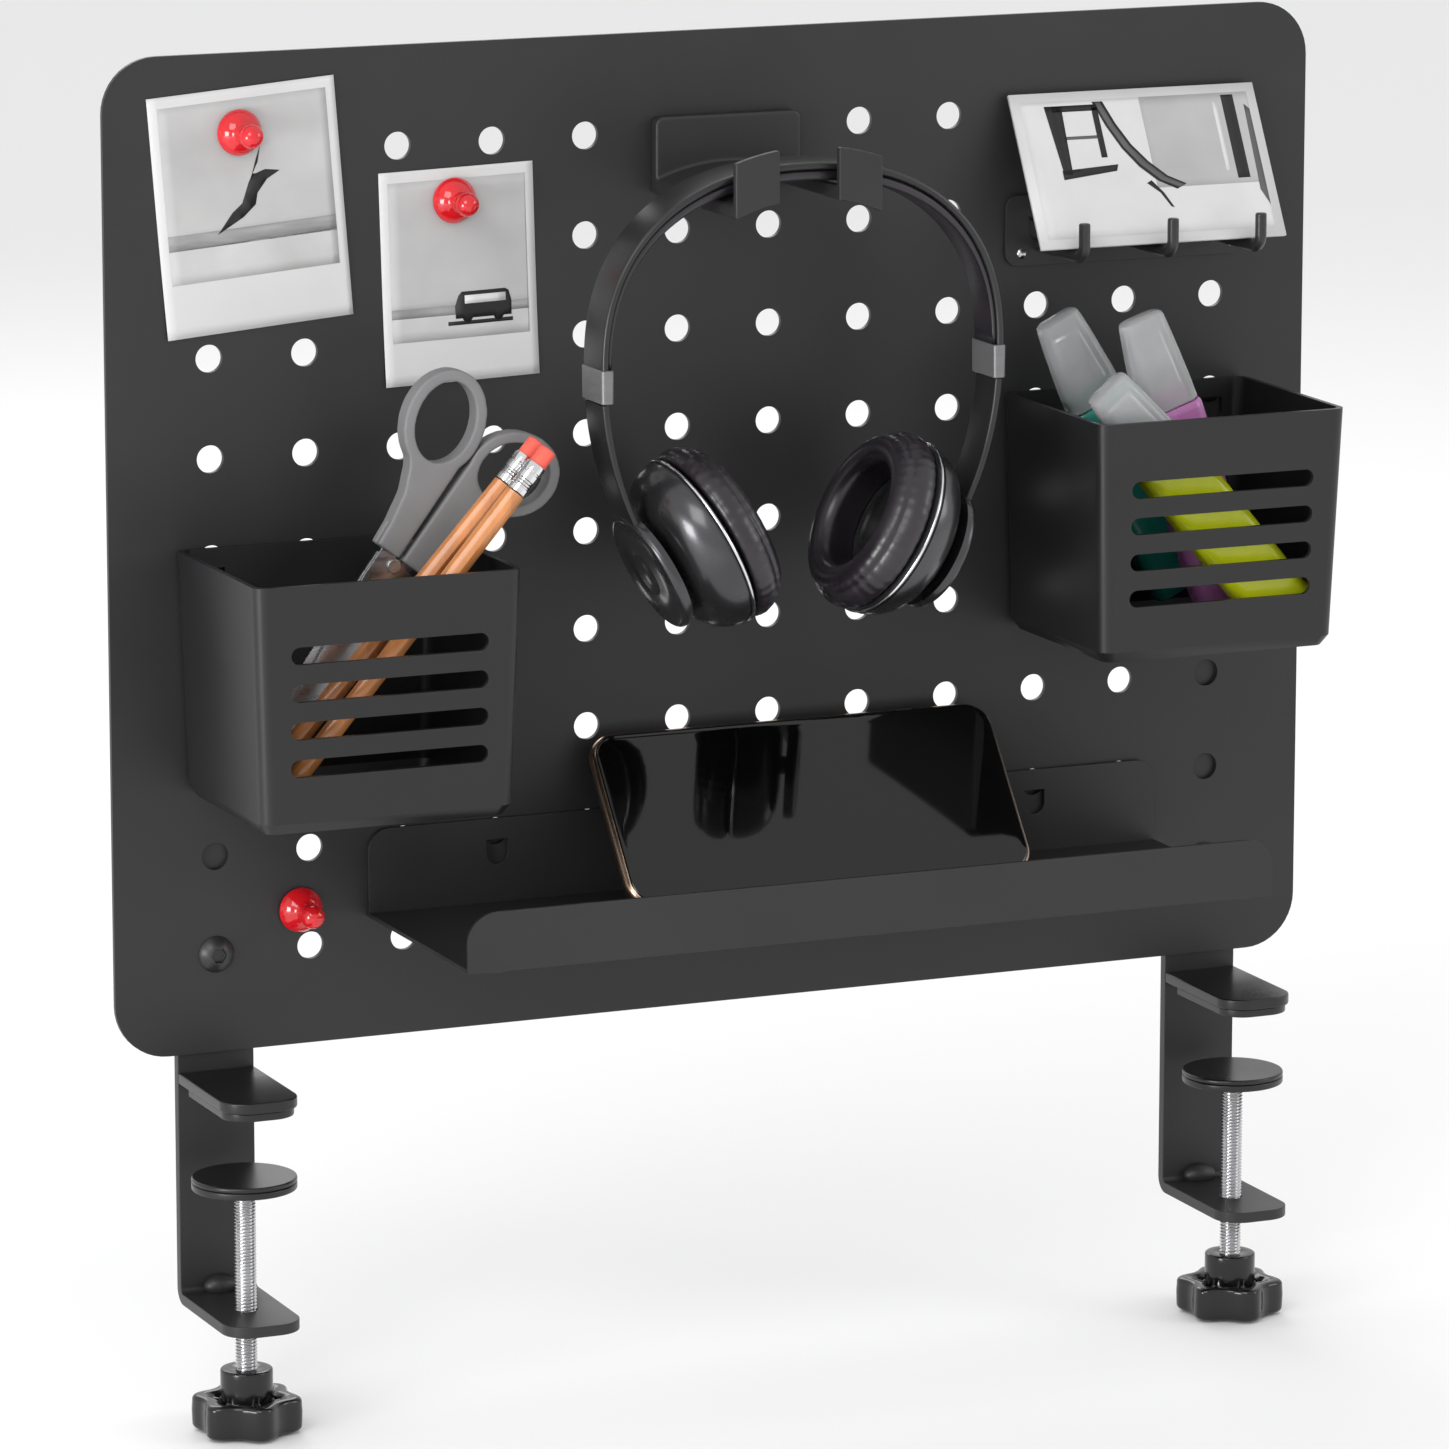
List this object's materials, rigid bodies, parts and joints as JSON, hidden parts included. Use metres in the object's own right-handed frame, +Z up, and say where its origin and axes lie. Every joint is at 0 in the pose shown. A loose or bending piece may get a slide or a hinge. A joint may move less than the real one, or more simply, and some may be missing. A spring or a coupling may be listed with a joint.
{
  "type": "pegboard tool wall",
  "caption": "Steel pegboard tool wall that clamps to a desk edge, with hook-on bins, tray and hooks holding scissors, pencils, highlighters, headphones, a phone and prints.",
  "frame": {"origin": "midway between the two clamps, on the desk top under the upper jaw pads, in the plane of the panel's front face", "axes": "+X to the right along the panel, +Y back through the panel, +Z up"},
  "size_m": [0.473, 0.1128, 0.4935],
  "materials": {
    "powder_coat": "fine matt powder coat",
    "black_rubber": "matt",
    "zinc_steel": "bright zinc plate",
    "knob_plastic": "gloss black",
    "black_steel": "satin black",
    "bin_shell": "fine matt",
    "pin_plastic": "gloss red",
    "magnet": "nickel",
    "print_paper": "satin photo paper",
    "card_board": "satin",
    "grey_plastic": "matt",
    "blade_steel": "brushed",
    "pencil_wood": "clear varnish",
    "ferrule": "bright, crimped",
    "eraser": "matt",
    "teal_plastic": "gloss",
    "cap_plastic": "smoked, half clear",
    "pink_plastic": "gloss",
    "yellow_plastic": "gloss",
    "headphone_black": "satin",
    "silver_trim": "satin",
    "headphone_gloss": "piano black",
    "cushion_leather": "soft sheen",
    "phone_metal": "satin bronze",
    "phone_glass": "mirror black"
  },
  "bodies": {
    "board": {"panel": "powder_coat", "left_bracket": "powder_coat", "left_upper_jaw": "powder_coat", "left_jaw_pad": "black_rubber", "right_bracket": "powder_coat", "right_upper_jaw": "powder_coat", "right_jaw_pad": "black_rubber", "panel_bolts": "black_steel", "panel_nuts": "zinc_steel", "large_print": "print_paper", "small_print": "print_paper"},
    "left_disc": {"left_pressure_disc": "powder_coat", "left_disc_pad": "black_rubber"},
    "left_screw": {"left_clamp_screw": "zinc_steel", "left_knob": "knob_plastic"},
    "right_disc": {"right_pressure_disc": "powder_coat", "right_disc_pad": "black_rubber"},
    "right_screw": {"right_clamp_screw": "zinc_steel", "right_knob": "knob_plastic"},
    "left_bin": {"left_bin": "bin_shell"},
    "right_bin": {"right_bin": "bin_shell"},
    "tray": {"tray": "powder_coat"},
    "headphone_hook": {"headphone_hook": "powder_coat"},
    "triple_hook": {"triple_hook_plate": "powder_coat", "triple_hook_rods": "black_steel", "triple_hook_rivets": "zinc_steel"},
    "pin_upper": {"pin_upper": "pin_plastic", "pin_upper_magnet": "magnet"},
    "pin_middle": {"pin_middle": "pin_plastic", "pin_middle_magnet": "magnet"},
    "pin_lower": {"pin_lower": "pin_plastic", "pin_lower_magnet": "magnet"},
    "card": {"picture_card": "card_board"},
    "phone": {"phone_frame": "phone_metal", "phone_screen": "phone_glass"},
    "scissors": {"scissor_handle_a": "grey_plastic", "scissor_blade_a": "blade_steel", "scissor_pivot": "blade_steel"},
    "scissors_half": {"scissor_handle_b": "grey_plastic", "scissor_blade_b": "blade_steel"},
    "pencil_a": {"pencil_a": "pencil_wood", "pencil_a_ferrule": "ferrule", "pencil_a_eraser": "eraser"},
    "pencil_b": {"pencil_b": "pencil_wood", "pencil_b_ferrule": "ferrule", "pencil_b_eraser": "eraser"},
    "teal_pen": {"teal_pen": "teal_plastic"},
    "teal_cap": {"teal_pen_cap": "cap_plastic"},
    "pink_pen": {"pink_pen": "pink_plastic"},
    "pink_cap": {"pink_pen_cap": "cap_plastic"},
    "yellow_pen": {"yellow_pen": "yellow_plastic"},
    "yellow_cap": {"yellow_pen_cap": "cap_plastic"},
    "headphones": {"headband": "headphone_black", "band_ends": "silver_trim"},
    "arm_left": {"arm_left": "headphone_black"},
    "arm_right": {"arm_right": "headphone_black"},
    "cup_left": {"cup_left": "headphone_gloss", "cushion_left": "cushion_leather"},
    "cup_right": {"cup_right": "headphone_gloss", "cushion_right": "cushion_leather"}
  },
  "joints": [
    {"name": "left_disc_slide", "type": "slide", "parent": "board", "child": "left_disc", "axis": [0, 0, 1], "range_m": [-0.041, 0.017]},
    {"name": "left_screw_turn", "type": "hinge", "parent": "left_disc", "child": "left_screw", "pos_m": [-0.198, -0.0265, -0.06], "axis": [0, 0, 1], "range_deg": [-11820, 4905]},
    {"name": "right_disc_slide", "type": "slide", "parent": "board", "child": "right_disc", "axis": [0, 0, 1], "range_m": [-0.041, 0.017]},
    {"name": "right_screw_turn", "type": "hinge", "parent": "right_disc", "child": "right_screw", "pos_m": [0.198, -0.0265, -0.06], "axis": [0, 0, 1], "range_deg": [-11820, 4905]},
    {"name": "left_bin_lift", "type": "slide", "parent": "board", "child": "left_bin", "axis": [0, 0, 1], "range_m": [0, 0.0042]},
    {"name": "right_bin_lift", "type": "slide", "parent": "board", "child": "right_bin", "axis": [0, 0, 1], "range_m": [0, 0.0042]},
    {"name": "tray_lift", "type": "slide", "parent": "board", "child": "tray", "axis": [0, 0, 1], "range_m": [0, 0.0042]},
    {"name": "headphone_hook_lift", "type": "slide", "parent": "board", "child": "headphone_hook", "axis": [0, 0, 1], "range_m": [0, 0.0042]},
    {"name": "triple_hook_lift", "type": "slide", "parent": "board", "child": "triple_hook", "axis": [0, 0, 1], "range_m": [0, 0.0042]},
    {"name": "pin_upper_pull", "type": "slide", "parent": "board", "child": "pin_upper", "axis": [0, -1, 0], "range_m": [0, 0.03]},
    {"name": "pin_middle_pull", "type": "slide", "parent": "board", "child": "pin_middle", "axis": [0, -1, 0], "range_m": [0, 0.03]},
    {"name": "pin_lower_pull", "type": "slide", "parent": "board", "child": "pin_lower", "axis": [0, -1, 0], "range_m": [0, 0.03]},
    {"name": "card_lift", "type": "slide", "parent": "triple_hook", "child": "card", "axis": [0, 0, 1], "range_m": [0, 0.02]},
    {"name": "phone_lift", "type": "slide", "parent": "tray", "child": "phone", "axis": [0, 0, 1], "range_m": [0, 0.04]},
    {"name": "scissors_lift", "type": "slide", "parent": "left_bin", "child": "scissors", "axis": [0, 0, 1], "range_m": [0, 0.05]},
    {"name": "scissors_open", "type": "hinge", "parent": "scissors", "child": "scissors_half", "pos_m": [-0.1466, -0.045, 0.1957], "axis": [0, 1, 0], "range_deg": [0, 5]},
    {"name": "pencil_a_lift", "type": "slide", "parent": "left_bin", "child": "pencil_a", "axis": [0, 0, 1], "range_m": [0, 0.05]},
    {"name": "pencil_b_lift", "type": "slide", "parent": "left_bin", "child": "pencil_b", "axis": [0, 0, 1], "range_m": [0, 0.05]},
    {"name": "teal_pen_pull", "type": "slide", "parent": "right_bin", "child": "teal_pen", "axis": [-0.454, 0, 0.891], "range_m": [0, 0.005]},
    {"name": "teal_cap_pull", "type": "slide", "parent": "teal_pen", "child": "teal_cap", "axis": [-0.454, 0, 0.891], "range_m": [0, 0.012]},
    {"name": "pink_pen_pull", "type": "slide", "parent": "right_bin", "child": "pink_pen", "axis": [-0.3256, 0, 0.9455], "range_m": [0, 0.045]},
    {"name": "pink_cap_pull", "type": "slide", "parent": "pink_pen", "child": "pink_cap", "axis": [-0.3256, 0, 0.9455], "range_m": [0, 0.02]},
    {"name": "yellow_pen_pull", "type": "slide", "parent": "right_bin", "child": "yellow_pen", "axis": [-0.6428, 0, 0.766], "range_m": [0, 0.022]},
    {"name": "yellow_cap_pull", "type": "slide", "parent": "yellow_pen", "child": "yellow_cap", "axis": [-0.6428, 0, 0.766], "range_m": [0, 0.02]},
    {"name": "headphones_lift", "type": "slide", "parent": "headphone_hook", "child": "headphones", "axis": [0, 0, 1], "range_m": [0, 0.02]},
    {"name": "arm_left_extend", "type": "slide", "parent": "headphones", "child": "arm_left", "axis": [0, 0, -1], "range_m": [0, 0.018]},
    {"name": "cup_left_tilt", "type": "hinge", "parent": "arm_left", "child": "cup_left", "pos_m": [-0.05127, -0.06, 0.19059], "axis": [0, 1, 0], "range_deg": [-3, 3]},
    {"name": "arm_right_extend", "type": "slide", "parent": "headphones", "child": "arm_right", "axis": [0, 0, -1], "range_m": [0, 0.018]},
    {"name": "cup_right_tilt", "type": "hinge", "parent": "arm_right", "child": "cup_right", "pos_m": [0.05527, -0.06, 0.19059], "axis": [0, 1, 0], "range_deg": [-3, 3]}
  ],
  "couplings": [
    {"joint": "left_screw_turn", "follows": "left_disc_slide", "rad_per_m": 5026.5},
    {"joint": "right_screw_turn", "follows": "right_disc_slide", "rad_per_m": 5026.5}
  ]
}
